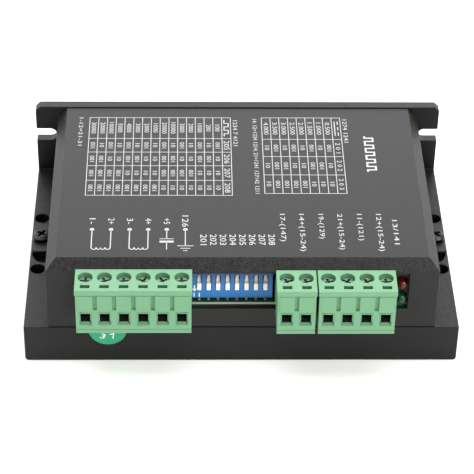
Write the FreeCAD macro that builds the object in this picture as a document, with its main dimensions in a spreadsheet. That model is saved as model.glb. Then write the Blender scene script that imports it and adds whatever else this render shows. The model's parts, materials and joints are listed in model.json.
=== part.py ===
import FreeCAD, Part
import os
import Sketcher

# Stepper driver module: a finned aluminium base with a back wall, a sheet cover,
# and a circuit board that carries pull-off terminal plugs, a DIP switch and LEDs.
# Frame: origin at the centre of the base's underside, +X to the right along the
# long side, +Y towards the back wall, +Z up.  Millimetres and degrees.

doc = FreeCAD.newDocument("StepperDriver")
V = FreeCAD.Vector

# ---------------------------------------------------------------- dimensions
DIMENSIONS = [
    # heatsink base
    ("base_length", 118.0, "base, along X"),
    ("base_depth", 75.5, "base, along Y"),
    ("base_height", 34.0, "top of the back wall"),
    ("plate_top", 11.76, "top of the base plate"),
    ("wall_thick", 3.08, "back wall"),
    ("base_round", 0.9, "rounding of the lower end edges"),
    ("wall_corner", 1.3, "chamfer of the wall's upper corners"),
    ("fin_depth", 6.0, "cooling grooves in the underside"),
    ("fin_gap", 2.4, "width of a cooling groove"),
    ("fin_pitch", 4.6, "groove to groove"),
    ("fin_first", 17.6, "first groove from the centre"),
    ("fin_count", 4, "grooves on each side of the centre land"),
    ("notch_half", 2.05, "half height of a wall mounting slot"),
    ("notch_x", 55.1, "centre of a slot's round end"),
    ("notch_z", 24.2, "slot height"),
    ("flange_hole_r", 2.0, "flange mounting holes"),
    ("flange_hole_x", 56.5, "hole distance from the middle"),
    ("flange_hole_back", 10.5, "rear pair of holes"),
    ("flange_hole_front", -12.6, "front pair of holes"),
    ("relief_inner", 51.8, "milled relief beside the ear"),
    ("relief_outer", 58.4, "outer edge of the relief"),
    ("relief_back", -4.0, "back edge of the relief"),
    ("relief_front", -9.6, "front edge of the relief"),
    ("relief_depth", 2.0, "depth of the relief"),
    ("tapped_r", 1.5, "tapped hole in the base"),
    ("tapped_depth", 5.0, "tapped hole depth"),
    # cover
    ("sheet", 1.0, "cover sheet thickness"),
    ("cover_half", 52.4, "half the cover's width"),
    ("cover_front", -37.5, "front face of the cover"),
    ("cover_back", 34.6, "back edge of the cover"),
    ("cover_top", 33.7, "top of the cover"),
    ("cover_chamfer", 2.8, "chamfer of the cover's top edges"),
    ("window_half", 44.4, "half width of the front window"),
    ("window_low", 18.2, "lower edge of the window"),
    ("window_high", 30.2, "upper edge of the window"),
    ("ear_outer", 58.5, "outer edge of a screw ear"),
    ("ear_front", -5.95, "front edge of an ear"),
    ("ear_back", 6.4, "back edge of an ear"),
    ("ear_corner", 1.4, "corner rounding of an ear"),
    ("ear_screw_x", 56.05, "cover screw from the middle"),
    ("ear_screw_y", 0.1, "cover screw position along Y"),
    # M3 screws
    ("screw_r", 1.45, "shank radius"),
    ("screw_hole_r", 1.6, "clearance hole radius"),
    ("pan_r", 2.45, "pan head radius"),
    ("pan_high", 1.7, "pan head height"),
    ("cross_wide", 0.7, "width of a cross recess arm"),
    ("cross_long", 2.8, "length of a cross recess arm"),
    ("cross_deep", 1.0, "depth of a cross recess"),
    # circuit board
    ("board_top", 19.4, "component side of the board"),
    ("board_thick", 1.6, "board thickness"),
    ("board_half", 50.0, "half the board's width"),
    ("board_front", -36.2, "front edge of the board"),
    ("board_back", 32.0, "back edge of the board"),
    ("spacer_r", 2.75, "board spacer radius"),
    ("spacer_x", 46.0, "spacers from the middle"),
    ("spacer_front", -19.0, "front spacers"),
    ("spacer_back", 27.0, "back spacers"),
    # terminals
    ("pole_pitch", 5.08, "pole to pole"),
    ("plug_6way_x", -28.9, "centre of the six-way plug"),
    ("plug_2way_x", 14.0, "centre of the two-way plug"),
    ("plug_4way_x", 30.0, "centre of the four-way plug"),
    ("plug_6way_front", -46.9, "front of the six-way plug"),
    ("plug_2way_front", -47.3, "front of the two-way plug"),
    ("plug_4way_front", -47.3, "front of the four-way plug"),
    ("plug_low", 17.7, "underside of a plug"),
    ("plug_high", 32.2, "top of a plug"),
    ("plug_deep", 9.05, "depth of a plug outside the cover"),
    ("lip_low", 30.5, "lower edge of the plug's upper lip"),
    ("lip_over", 0.2, "how far the lip stands out"),
    ("ledge_high", 18.8, "top of the plug's front ledge"),
    ("tongue_low", 20.9, "underside of the plug's tongue"),
    ("tongue_high", 26.7, "top of the plug's tongue"),
    ("tongue_end", 16.7, "tongue end, from the plug's front"),
    ("tongue_margin", 1.0, "tongue inset from the pole block"),
    ("well_r", 1.95, "screw well radius"),
    ("well_y", 5.72, "screw axis, from the plug's front"),
    ("chamber_half_x", 1.85, "clamp chamber half width"),
    ("chamber_half_y", 2.3, "clamp chamber half depth"),
    ("chamber_low", 20.9, "bottom of the clamp chamber"),
    ("chamber_high", 29.35, "top of the clamp chamber"),
    ("probe_wide", 2.44, "probe slot width"),
    ("probe_front", 1.3, "probe slot, from the plug's front"),
    ("probe_deep", 1.15, "probe slot size along Y"),
    ("probe_low", 27.0, "bottom of the probe slot"),
    ("entry_half", 1.35, "wire entry half width"),
    ("entry_low", 22.05, "bottom of the wire entry"),
    ("entry_high", 24.5, "top of the wire entry"),
    ("funnel_deep", 1.7, "depth of the entry funnel"),
    ("funnel_low", 20.3, "lower edge of the funnel's mouth"),
    ("funnel_half", 1.6, "half width of the funnel's mouth"),
    ("groove_wide", 1.04, "groove between poles"),
    ("groove_low", 25.4, "lower end of a groove"),
    ("groove_deep", 0.6, "depth of a groove"),
    ("contact_half_x", 1.25, "contact socket half width"),
    ("contact_low", 22.7, "underside of a contact socket"),
    ("contact_high", 25.3, "top of a contact socket"),
    ("contact_wall", 0.6, "contact metal thickness"),
    ("contact_end", 16.3, "contact end, from the plug's front"),
    ("strip_start", 3.7, "contact strip start, from the front"),
    ("strip_half_x", 1.0, "contact strip half width"),
    ("clamp_half_x", 1.75, "clamp half width"),
    ("clamp_half_y", 2.1, "clamp half depth"),
    ("clamp_low", 21.15, "underside of an open clamp"),
    ("clamp_high", 27.7, "top of an open clamp"),
    ("clamp_side", 0.45, "clamp side wall"),
    ("clamp_floor", 0.8, "clamp floor"),
    ("clamp_roof", 1.4, "threaded roof of a clamp"),
    ("clamp_bore_r", 1.27, "bore in the clamp's roof"),
    ("term_r", 1.2, "terminal screw shank radius"),
    ("term_tip", 25.4, "tip of a terminal screw"),
    ("term_shoulder", 29.45, "underside of its head"),
    ("term_top", 30.95, "top of its head"),
    ("term_head_r", 1.75, "head radius"),
    ("slot_wide", 0.6, "screwdriver slot width"),
    ("slot_deep", 0.7, "screwdriver slot depth"),
    # board sockets
    ("header_front", -37.3, "front of a board socket"),
    ("header_back", -26.5, "back of a board socket"),
    ("header_high", 28.0, "top of a board socket"),
    ("header_over", 0.1, "socket width beyond its poles"),
    ("cavity_inset", 0.7, "socket cavity inset from its poles"),
    ("cavity_back", -29.8, "bottom of the cavity"),
    ("cavity_low", 20.6, "lower cavity wall"),
    ("cavity_high", 27.0, "upper cavity wall"),
    ("pin_half", 0.5, "half of the square pin"),
    ("pin_z", 24.0, "pin axis height"),
    ("pin_tip", -36.3, "pin tip"),
    ("pin_back", -25.3, "back of the pin's leg"),
    ("pin_foot", 16.4, "lower end of a pin"),
    ("pin_hole_r", 0.78, "board hole for a pin"),
    # DIP switch
    ("dip_left", -13.5, "left end of the switch block"),
    ("dip_right", 8.1, "right end of the switch block"),
    ("dip_front", -34.9, "front face of the switch block"),
    ("dip_deep", 5.5, "switch block, along Y"),
    ("dip_low", 19.85, "underside of the switch block"),
    ("dip_high", 29.75, "top of the switch block"),
    ("dip_pitch", 2.54, "lever to lever"),
    ("dip_first_x", -11.59, "first lever"),
    ("dip_slot_half", 0.68, "lever slot half width"),
    ("dip_slot_low", 22.6, "lower end of a lever slot"),
    ("dip_slot_high", 27.6, "upper end of a lever slot"),
    ("dip_slot_deep", 2.2, "lever slot depth"),
    ("lever_half", 0.6, "lever half width at its front"),
    ("lever_back_half", 0.4, "lever half width at its back"),
    ("lever_low", 22.7, "underside of a lever when on"),
    ("lever_tall", 2.3, "lever height"),
    ("lever_out", 0.3, "how far a lever stands out"),
    ("lever_deep", 2.3, "lever, along Y"),
    ("dip_pin_half", 0.25, "half of a switch pin"),
    ("dip_pin_front", -34.4, "front row of switch pins"),
    ("dip_pin_back", -27.6, "back row of switch pins"),
    ("dip_pin_high", 26.8, "where the back row leaves the block"),
    ("dip_hole_r", 0.4, "board hole for a switch pin"),
    # indicator lights
    ("led_x", 42.7, "column of the two LEDs"),
    ("led_r", 1.45, "LED radius"),
    ("led_dome", -36.3, "centre of an LED's dome"),
    ("led_back", -31.0, "back of an LED"),
    ("alarm_z", 25.95, "upper, red LED"),
    ("power_z", 21.0, "lower, green LED"),
    ("holder_half", 2.0, "LED holder half width"),
    ("holder_front", -35.3, "front of the LED holder"),
    ("holder_back", -30.0, "back of the LED holder"),
    ("holder_high", 29.0, "top of the LED holder"),
    ("led_hole_r", 1.5, "hole in the LED holder"),
    ("lead_half", 0.25, "half of an LED lead"),
    ("lead_apart", 1.27, "LED lead from the LED's axis"),
    # parts inside
    ("cap_r", 6.0, "bulk capacitor radius"),
    ("cap_long", 21.0, "bulk capacitor length"),
    ("cap_x", -41.0, "capacitor's left end"),
    ("cap_first_y", -4.0, "first capacitor"),
    ("cap_step_y", 13.5, "capacitor to capacitor"),
    ("chip_half", 7.0, "controller chip half size"),
    ("chip_x", 12.0, "controller chip"),
    ("chip_y", 6.0, "controller chip"),
    ("chip_tall", 1.5, "controller chip height"),
    ("opto_x", 18.0, "first optocoupler"),
    ("opto_step", 9.0, "optocoupler to optocoupler"),
    ("opto_y", -18.0, "row of optocouplers"),
    ("opto_wide", 6.4, "optocoupler, along X"),
    ("opto_long", 9.7, "optocoupler, along Y"),
    ("opto_tall", 3.5, "optocoupler height"),
    ("fet_wide", 6.6, "power transistor, along X"),
    ("fet_long", 9.6, "power transistor, along Y"),
    ("fet_tall", 2.3, "power transistor height"),
    ("fet_step_x", 9.0, "transistor to transistor, along X"),
    ("fet_step_y", 12.0, "transistor to transistor, along Y"),
    ("fet_x", -30.0, "middle of the power stage"),
    ("fet_y", 4.0, "middle of the power stage"),
    ("pad_wide", 38.0, "thermal pad, along X"),
    ("pad_long", 24.0, "thermal pad, along Y"),
    # inspection sticker
    ("sticker_r", 5.15, "sticker radius"),
    ("sticker_x", -36.3, "sticker centre"),
    ("sticker_z", 10.97, "sticker centre"),
    ("sticker_thick", 0.12, "sticker thickness"),
]

sheet = doc.addObject("Spreadsheet::Sheet", "Dims")
for row, (alias, value, note) in enumerate(DIMENSIONS, start=1):
    sheet.set(f"A{row}", alias)
    sheet.set(f"B{row}", str(value))
    sheet.set(f"C{row}", note)
    sheet.setAlias(f"B{row}", alias)
doc.recompute()


class Size:
    """A number together with the spreadsheet expression that gives it."""

    def __init__(self, value, text):
        self.value = float(value)
        self.text = text

    def __add__(self, other):
        other = size(other)
        return Size(self.value + other.value, f"({self.text} + {other.text})")

    def __sub__(self, other):
        other = size(other)
        return Size(self.value - other.value, f"({self.text} - {other.text})")

    def __mul__(self, other):
        other = size(other)
        return Size(self.value * other.value, f"({self.text} * {other.text})")

    def __truediv__(self, other):
        other = size(other)
        return Size(self.value / other.value, f"({self.text} / {other.text})")

    def __neg__(self):
        return Size(-self.value, f"(0 - {self.text})")

    def __radd__(self, other):
        return size(other) + self

    def __rsub__(self, other):
        return size(other) - self

    def __rmul__(self, other):
        return size(other) * self


def size(number):
    if isinstance(number, Size):
        return number
    return Size(number, f"({float(number)})")


class Dims:
    """The spreadsheet's cells as attributes, each a Size."""


for alias, value, note in DIMENSIONS:
    setattr(Dims, alias, Size(sheet.get(alias), f"Dims.{alias}"))
D = Dims

# ---------------------------------------------------------------- helpers
SUB_PARTS = []
UP = V(0, 0, 1)
FORWARD = V(0, 1, 0)
ALONG = V(1, 0, 0)


def sub_part(obj, label):
    """Mark an object as a finished sub-part under its node name."""
    obj.Label = label
    SUB_PARTS.append(obj)
    return obj


def bind(obj, **sizes):
    for prop, value in sizes.items():
        obj.setExpression(prop, size(value).text)


def place(obj, x=0, y=0, z=0):
    """Bind an object's position to the sheet."""
    obj.setExpression(".Placement.Base.x", size(x).text)
    obj.setExpression(".Placement.Base.y", size(y).text)
    obj.setExpression(".Placement.Base.z", size(z).text)
    return obj


def box(x0, x1, y0, y1, z0, z1):
    """A box from its six bounding planes."""
    obj = doc.addObject("Part::Box", "Block")
    bind(obj, Length=size(x1) - x0, Width=size(y1) - y0, Height=size(z1) - z0)
    return place(obj, x0, y0, z0)


def cylinder(radius, length, x, y, z, axis=UP):
    """A cylinder that starts at a point and runs along +X, +Y or +Z."""
    obj = doc.addObject("Part::Cylinder", "Round")
    obj.Placement = FreeCAD.Placement(V(0, 0, 0), FreeCAD.Rotation(UP, axis))
    bind(obj, Radius=radius, Height=length)
    return place(obj, x, y, z)


def union(shapes):
    if len(shapes) == 1:
        return shapes[0]
    obj = doc.addObject("Part::MultiFuse", "Union")
    obj.Shapes = shapes
    return obj


def minus(base, tools):
    obj = doc.addObject("Part::Cut", "Difference")
    obj.Base = base
    obj.Tool = union(tools)
    return obj


def body(label):
    return sub_part(doc.addObject("PartDesign::Body", label), label)


def plane_sketch(owner, role, offset=None):
    """A sketch on one of the body's own origin planes, raised by an offset."""
    sketch = owner.newObject("Sketcher::SketchObject", "Sketch")
    planes = [f for f in owner.Origin.OriginFeatures if f.Role == role]
    sketch.AttachmentSupport = [(planes[0], "")]
    sketch.MapMode = "FlatFace"
    if offset is not None:
        sketch.setExpression(".AttachmentOffset.Base.z", offset.text)
    return sketch


def draw_polygon(sketch, points):
    """A closed outline whose every corner is dimensioned from the origin."""
    points = [(size(u), size(v)) for u, v in points]
    first = sketch.GeometryCount
    count = len(points)
    for i in range(count):
        start = V(points[i][0].value, points[i][1].value, 0)
        end = V(points[(i + 1) % count][0].value, points[(i + 1) % count][1].value, 0)
        sketch.addGeometry(Part.LineSegment(start, end))
    for i in range(count):
        line = first + i
        following = first + (i + 1) % count
        sketch.addConstraint(Sketcher.Constraint("Coincident", line, 2, following, 1))
    for i, (u, v) in enumerate(points):
        line = first + i
        for kind, value in (("DistanceX", u), ("DistanceY", v)):
            index = sketch.addConstraint(Sketcher.Constraint(kind, -1, 1, line, 1, value.value))
            sketch.setExpression(f"Constraints[{index}]", value.text)


def draw_rectangle(sketch, u0, u1, v0, v1):
    draw_polygon(sketch, [(u0, v0), (u1, v0), (u1, v1), (u0, v1)])


def draw_circle(sketch, u, v, radius):
    u, v, radius = size(u), size(v), size(radius)
    circle = sketch.addGeometry(Part.Circle(V(u.value, v.value, 0), V(0, 0, 1), radius.value))
    for kind, value in (("DistanceX", u), ("DistanceY", v)):
        index = sketch.addConstraint(Sketcher.Constraint(kind, -1, 1, circle, 3, value.value))
        sketch.setExpression(f"Constraints[{index}]", value.text)
    index = sketch.addConstraint(Sketcher.Constraint("Radius", circle, radius.value))
    sketch.setExpression(f"Constraints[{index}]", radius.text)


def pad(owner, sketch, length, symmetric=False):
    feature = owner.newObject("PartDesign::Pad", "Pad")
    feature.Profile = sketch
    feature.SideType = "Symmetric" if symmetric else "One side"
    bind(feature, Length=length)
    doc.recompute()
    return feature


def pocket(owner, sketch, depth=None, symmetric=False, reverse=False):
    """Cut a sketch out of the body, and make sure that it removes material."""
    before = owner.Shape.Volume
    feature = owner.newObject("PartDesign::Pocket", "Pocket")
    feature.Profile = sketch
    feature.SideType = "Symmetric" if symmetric else "One side"
    feature.Reversed = reverse
    if depth is None:
        feature.Type = "ThroughAll"
    else:
        feature.Type = "Length"
        bind(feature, Length=depth)
    doc.recompute()
    if not owner.Shape.Volume < before - 0.01:
        raise RuntimeError(f"{owner.Label}: a pocket removed nothing")
    return feature


def edges_where(shape, test):
    """Names of the straight edges whose two ends both pass a test."""
    names = []
    for number, edge in enumerate(shape.Edges, start=1):
        ends = [vertex.Point for vertex in edge.Vertexes]
        if len(ends) == 2 and all(test(point) for point in ends):
            names.append(f"Edge{number}")
    return names


def dress(owner, kind, prop, base, tests, amount):
    """A PartDesign fillet or chamfer on the edges that pass one of the tests."""
    names = [name for test in tests for name in edges_where(base.Shape, test)]
    feature = owner.newObject(f"PartDesign::{kind}", kind)
    feature.Base = (base, names)
    feature.setExpression(prop, amount.text)
    doc.recompute()
    return feature


def near(a, b):
    return abs(a - b) < 0.01


# ---------------------------------------------------------------- heatsink base
half_length = D.base_length / 2
half_depth = D.base_depth / 2
wall_face = half_depth - D.wall_thick

base = body("heatsink_base")
profile = plane_sketch(base, "YZ_Plane")
draw_polygon(profile, [
    (-half_depth, 0),
    (half_depth, 0),
    (half_depth, D.base_height),
    (wall_face, D.base_height),
    (wall_face, D.plate_top),
    (-half_depth, D.plate_top),
])
extrusion = pad(base, profile, D.base_length, symmetric=True)
rounded = dress(
    base, "Fillet", "Radius", extrusion,
    [
        lambda p: near(p.x, half_length.value) and near(p.z, 0),
        lambda p: near(p.x, -half_length.value) and near(p.z, 0),
    ],
    D.base_round,
)
clipped = dress(
    base, "Chamfer", "Size", rounded,
    [
        lambda p: near(p.x, half_length.value) and near(p.z, D.base_height.value),
        lambda p: near(p.x, -half_length.value) and near(p.z, D.base_height.value),
    ],
    D.wall_corner,
)

grooves = plane_sketch(base, "YZ_Plane")
for sign in (1, -1):
    for i in range(int(D.fin_count.value)):
        middle = (D.fin_first + D.fin_pitch * i) * sign
        draw_rectangle(grooves, middle - D.fin_gap / 2, middle + D.fin_gap / 2, -1, D.fin_depth)
pocket(base, grooves, symmetric=True)

# open-ended mounting slots in the back wall: a round end and a straight mouth
slot_ends = plane_sketch(base, "XZ_Plane")
slot_mouths = plane_sketch(base, "XZ_Plane")
for sign in (1, -1):
    draw_circle(slot_ends, D.notch_x * sign, D.notch_z, D.notch_half)
    draw_rectangle(
        slot_mouths,
        D.notch_x * sign, (half_length + 1) * sign,
        D.notch_z - D.notch_half, D.notch_z + D.notch_half,
    )
pocket(base, slot_ends, symmetric=True)
pocket(base, slot_mouths, symmetric=True)

flange_holes = plane_sketch(base, "XY_Plane")
reliefs = plane_sketch(base, "XY_Plane", D.plate_top)
tapped_holes = plane_sketch(base, "XY_Plane", D.plate_top)
for sign in (1, -1):
    for y in (D.flange_hole_back, D.flange_hole_front):
        draw_circle(flange_holes, D.flange_hole_x * sign, y, D.flange_hole_r)
    draw_polygon(reliefs, [
        (D.relief_inner * sign, D.relief_back),
        (D.relief_outer * sign, D.relief_back),
        ((D.relief_outer - 0.2) * sign, D.relief_front + 3.0),
        ((D.relief_outer - 1.2) * sign, D.relief_front + 0.8),
        ((D.relief_outer - 2.6) * sign, D.relief_front),
        (D.relief_inner * sign, D.relief_front),
    ])
    draw_circle(tapped_holes, D.ear_screw_x * sign, D.ear_screw_y, D.tapped_r)
    for y in (D.spacer_front, D.spacer_back):
        draw_circle(tapped_holes, D.spacer_x * sign, y, D.tapped_r)
pocket(base, flange_holes, symmetric=True)
pocket(base, reliefs, D.relief_depth)
pocket(base, tapped_holes, D.tapped_depth)

# ---------------------------------------------------------------- sheet cover
cover = body("top_cover")
outline = plane_sketch(cover, "XY_Plane", D.plate_top)
draw_rectangle(outline, -D.cover_half, D.cover_half, D.cover_front, D.cover_back)
hood = pad(cover, outline, D.cover_top - D.plate_top)
bevelled = dress(
    cover, "Chamfer", "Size", hood,
    [
        lambda p: near(p.z, D.cover_top.value) and near(p.y, D.cover_front.value),
        lambda p: near(p.z, D.cover_top.value) and near(p.x, D.cover_half.value),
        lambda p: near(p.z, D.cover_top.value) and near(p.x, -D.cover_half.value),
    ],
    D.cover_chamfer,
)

# the sheet is one wall thick, open at the bottom and at the back
open_faces = []
for number, face in enumerate(bevelled.Shape.Faces, start=1):
    limits = face.BoundBox
    if near(limits.ZMax, D.plate_top.value) or near(limits.YMin, D.cover_back.value):
        open_faces.append(f"Face{number}")
hollow = cover.newObject("PartDesign::Thickness", "Thickness")
hollow.Base = (bevelled, open_faces)
hollow.Join = "Intersection"
hollow.Reversed = True
bind(hollow, Value=D.sheet)
doc.recompute()

window = plane_sketch(cover, "XZ_Plane")
draw_rectangle(window, -D.window_half, D.window_half, D.window_low, D.window_high)
pocket(cover, window, reverse=True)

ears = plane_sketch(cover, "XY_Plane", D.plate_top)
for sign in (1, -1):
    draw_rectangle(
        ears,
        (D.cover_half - D.sheet) * sign, D.ear_outer * sign,
        D.ear_front, D.ear_back,
    )
ear_pad = pad(cover, ears, D.sheet)
dress(
    cover, "Fillet", "Radius", ear_pad,
    [
        lambda p: near(abs(p.x), D.ear_outer.value) and near(p.y, D.ear_front.value),
        lambda p: near(abs(p.x), D.ear_outer.value) and near(p.y, D.ear_back.value),
    ],
    D.ear_corner,
)
ear_holes = plane_sketch(cover, "XY_Plane", D.plate_top + D.sheet)
for sign in (1, -1):
    draw_circle(ear_holes, D.ear_screw_x * sign, D.ear_screw_y, D.screw_hole_r)
pocket(cover, ear_holes, D.sheet)

# ---------------------------------------------------------------- M3 screws
def pan_screw(x, y, seat, length):
    """A pan-head screw with a cross recess, its head resting at seat height."""
    shank = cylinder(D.screw_r, length, x, y, seat - length)
    head = cylinder(D.pan_r, D.pan_high * 0.6, x, y, seat)
    crown = doc.addObject("Part::Cone", "Crown")
    bind(crown, Radius1=D.pan_r, Radius2=D.pan_r * 0.7, Height=D.pan_high * 0.4)
    place(crown, x, y, seat + D.pan_high * 0.6)
    floor = seat + D.pan_high - D.cross_deep
    half_wide = D.cross_wide / 2
    half_long = D.cross_long / 2
    top = seat + D.pan_high + 0.1
    arm_x = box(x - half_long, x + half_long, y - half_wide, y + half_wide, floor, top)
    arm_y = box(x - half_wide, x + half_wide, y - half_long, y + half_long, floor, top)
    return minus(union([shank, head, crown]), [arm_x, arm_y])


ear_top = D.plate_top + D.sheet
sub_part(union([
    pan_screw(D.ear_screw_x * sign, D.ear_screw_y, ear_top, D.sheet + D.tapped_depth - 0.5)
    for sign in (1, -1)
]), "cover_screws")

# ---------------------------------------------------------------- circuit board
def poles(count, middle):
    """X positions of the poles of one terminal block."""
    return [middle + D.pole_pitch * (i - (count - 1) / 2) for i in range(count)]


BLOCKS = [
    ("6way", poles(6, D.plug_6way_x), D.plug_6way_x, D.plug_6way_front),
    ("2way", poles(2, D.plug_2way_x), D.plug_2way_x, D.plug_2way_front),
    ("4way", poles(4, D.plug_4way_x), D.plug_4way_x, D.plug_4way_front),
]
LEVERS = [D.dip_first_x + D.dip_pitch * i for i in range(8)]
board_low = D.board_top - D.board_thick
all_poles = [x for block in BLOCKS for x in block[1]]
SPACERS = [(D.spacer_x * sign, y) for sign in (1, -1) for y in (D.spacer_front, D.spacer_back)]

board = body("circuit_board")
board_outline = plane_sketch(board, "XY_Plane", board_low)
draw_rectangle(board_outline, -D.board_half, D.board_half, D.board_front, D.board_back)
pad(board, board_outline, D.board_thick)
board_holes = plane_sketch(board, "XY_Plane", D.board_top)
for x, y in SPACERS:
    draw_circle(board_holes, x, y, D.screw_hole_r)
for x in all_poles:
    draw_circle(board_holes, x, D.pin_back - D.pin_half, D.pin_hole_r)
for x in LEVERS:
    draw_circle(board_holes, x, D.dip_pin_front, D.dip_hole_r)
    draw_circle(board_holes, x, D.dip_pin_back, D.dip_hole_r)
pocket(board, board_holes, D.board_thick)

sub_part(union([
    minus(
        cylinder(D.spacer_r, board_low - D.plate_top, x, y, D.plate_top),
        [cylinder(D.screw_hole_r, board_low - D.plate_top + 2, x, y, D.plate_top - 1)],
    )
    for x, y in SPACERS
]), "board_spacers")

screw_reach = D.board_top - D.plate_top + D.tapped_depth - 0.5
sub_part(union([pan_screw(x, y, D.board_top, screw_reach) for x, y in SPACERS]), "board_screws")

# ---------------------------------------------------------------- board sockets
def header(label, xs, middle):
    """An open-fronted socket that a terminal plug slides into."""
    half = D.pole_pitch * len(xs) / 2
    shell = box(
        middle - half - D.header_over, middle + half + D.header_over,
        D.header_front, D.header_back, D.board_top, D.header_high,
    )
    cavity = box(
        middle - half + D.cavity_inset, middle + half - D.cavity_inset,
        D.header_front - 1, D.cavity_back, D.cavity_low, D.cavity_high,
    )
    pin_holes = [
        box(x - D.pin_half, x + D.pin_half, D.cavity_back - 1, D.header_back + 1,
            D.pin_z - D.pin_half, D.pin_z + D.pin_half)
        for x in xs
    ]
    sub_part(minus(shell, [cavity] + pin_holes), label)


def right_angle_pin(x):
    """A square pin that points forward in the socket and turns down into the board."""
    arm = box(x - D.pin_half, x + D.pin_half, D.pin_tip, D.pin_back,
              D.pin_z - D.pin_half, D.pin_z + D.pin_half)
    leg = box(x - D.pin_half, x + D.pin_half, D.pin_back - D.pin_half * 2, D.pin_back,
              D.pin_foot, D.pin_z)
    return union([arm, leg])


for name, xs, middle, front in BLOCKS:
    header(f"header_{name}", xs, middle)
sub_part(union([right_angle_pin(x) for x in all_poles]), "header_pins")

# ---------------------------------------------------------------- terminal plugs
def plug_housing(label, xs, middle, front):
    """A plug's moulding: pole block, tongue, screw wells, probe slots and wire entries."""
    half = D.pole_pitch * len(xs) / 2
    back = front + D.plug_deep
    block = box(middle - half, middle + half, front + D.lip_over, back, D.plug_low, D.plug_high)
    ledge = box(middle - half, middle + half, front, back, D.plug_low, D.ledge_high)
    lip = box(
        middle - half - D.lip_over, middle + half + D.lip_over,
        front, back, D.lip_low, D.plug_high,
    )
    tongue = box(
        middle - half + D.tongue_margin, middle + half - D.tongue_margin,
        back - 0.5, front + D.tongue_end, D.tongue_low, D.tongue_high,
    )
    cuts = []
    for x in xs:
        axis_y = front + D.well_y
        chamber_front = axis_y - D.chamber_half_y
        cuts.append(cylinder(D.well_r, D.plug_high - D.chamber_high + 1, x, axis_y, D.chamber_high - 0.5))
        cuts.append(box(
            x - D.chamber_half_x, x + D.chamber_half_x,
            chamber_front, axis_y + D.chamber_half_y, D.chamber_low, D.chamber_high,
        ))
        cuts.append(box(
            x - D.probe_wide / 2, x + D.probe_wide / 2,
            front + D.probe_front, front + D.probe_front + D.probe_deep,
            D.probe_low, D.plug_high + 1,
        ))
        cuts.append(box(
            x - D.entry_half, x + D.entry_half,
            front - 1, chamber_front + 0.5, D.entry_low, D.entry_high,
        ))
        cuts.append(funnel(x, front + D.lip_over))
        cuts.append(box(
            x - D.contact_half_x, x + D.contact_half_x,
            axis_y + D.chamber_half_y - 0.5, front + D.tongue_end + 1,
            D.contact_low, D.contact_high,
        ))
    for left, right in zip(xs, xs[1:]):
        between = (left + right) / 2
        cuts.append(box(
            between - D.groove_wide / 2, between + D.groove_wide / 2,
            front - 1, front + D.lip_over + D.groove_deep, D.groove_low, D.lip_low,
        ))
    return sub_part(minus(union([block, ledge, lip, tongue]), cuts), label)


def funnel(x, front):
    """The flared mouth of a wire entry, wide at the front and sloping up to the hole."""
    obj = doc.addObject("Part::Wedge", "Funnel")
    bind(
        obj,
        Ymin=0, Ymax=D.funnel_deep,
        Xmin=-D.funnel_half, Xmax=D.funnel_half,
        Zmin=D.funnel_low, Zmax=D.entry_high + 0.1,
        X2min=-D.entry_half, X2max=D.entry_half,
        Z2min=D.entry_low, Z2max=D.entry_high,
    )
    return place(obj, x, front, 0)


def plug_contact(x, front):
    """A contact strip from under the screw to the spring socket in the tongue."""
    socket_front = front + D.well_y + D.chamber_half_y
    strip = box(
        x - D.strip_half_x, x + D.strip_half_x, front + D.strip_start, socket_front + 1,
        D.contact_high - D.contact_wall, D.contact_high,
    )
    shell = box(
        x - D.contact_half_x, x + D.contact_half_x, socket_front, front + D.contact_end,
        D.contact_low, D.contact_high,
    )
    bore = box(
        x - D.contact_half_x + D.contact_wall, x + D.contact_half_x - D.contact_wall,
        socket_front - 1, front + D.contact_end + 1,
        D.contact_low + D.contact_wall, D.contact_high - D.contact_wall,
    )
    return union([strip, minus(shell, [bore])])


def terminal_screw(label, x, front, turn):
    """A slotted cylinder-head screw, turned by the given angle about its axis."""
    length = D.term_shoulder - D.term_tip
    shank = cylinder(D.term_r, length + 0.2, 0, 0, 0)
    head = cylinder(D.term_head_r, D.term_top - D.term_shoulder, 0, 0, length)
    top = D.term_top - D.term_tip
    half = D.slot_wide / 2
    slot = box(-3, 3, -half, half, top - D.slot_deep, top + 1)
    cross = box(-half, half, -D.cross_long / 2, D.cross_long / 2, top - D.slot_deep, top + 1)
    screw = sub_part(minus(union([shank, head]), [slot, cross]), label)
    screw.Placement = FreeCAD.Placement(V(0, 0, 0), FreeCAD.Rotation(UP, turn))
    place(screw, x, front + D.well_y, D.term_tip)


def wire_clamp(label, x, front):
    """A rising cage: a ring round the contact strip with the screw through its roof."""
    tall = D.clamp_high - D.clamp_low
    ring = box(-D.clamp_half_x, D.clamp_half_x, -D.clamp_half_y, D.clamp_half_y, 0, tall)
    mouth = box(
        -D.clamp_half_x + D.clamp_side, D.clamp_half_x - D.clamp_side,
        -D.clamp_half_y - 1, D.clamp_half_y + 1,
        D.clamp_floor, tall - D.clamp_roof,
    )
    bore = cylinder(D.clamp_bore_r, D.clamp_roof + 1, 0, 0, tall - D.clamp_roof - 0.5)
    clamp = sub_part(minus(ring, [mouth, bore]), label)
    place(clamp, x, front + D.well_y, D.clamp_low)


SCREW_TURNS = [85, 20, 8, 62, 118, 5, 25, 15, 12, 150, 28, 3]
for name, xs, middle, front in BLOCKS:
    plug_housing(f"plug_{name}_housing", xs, middle, front)
    sub_part(union([plug_contact(x, front) for x in xs]), f"plug_{name}_contacts")
    for number, x in enumerate(xs, start=1):
        terminal_screw(f"screw_{name}_{number}", x, front, SCREW_TURNS.pop(0))
        wire_clamp(f"clamp_{name}_{number}", x, front)

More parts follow.
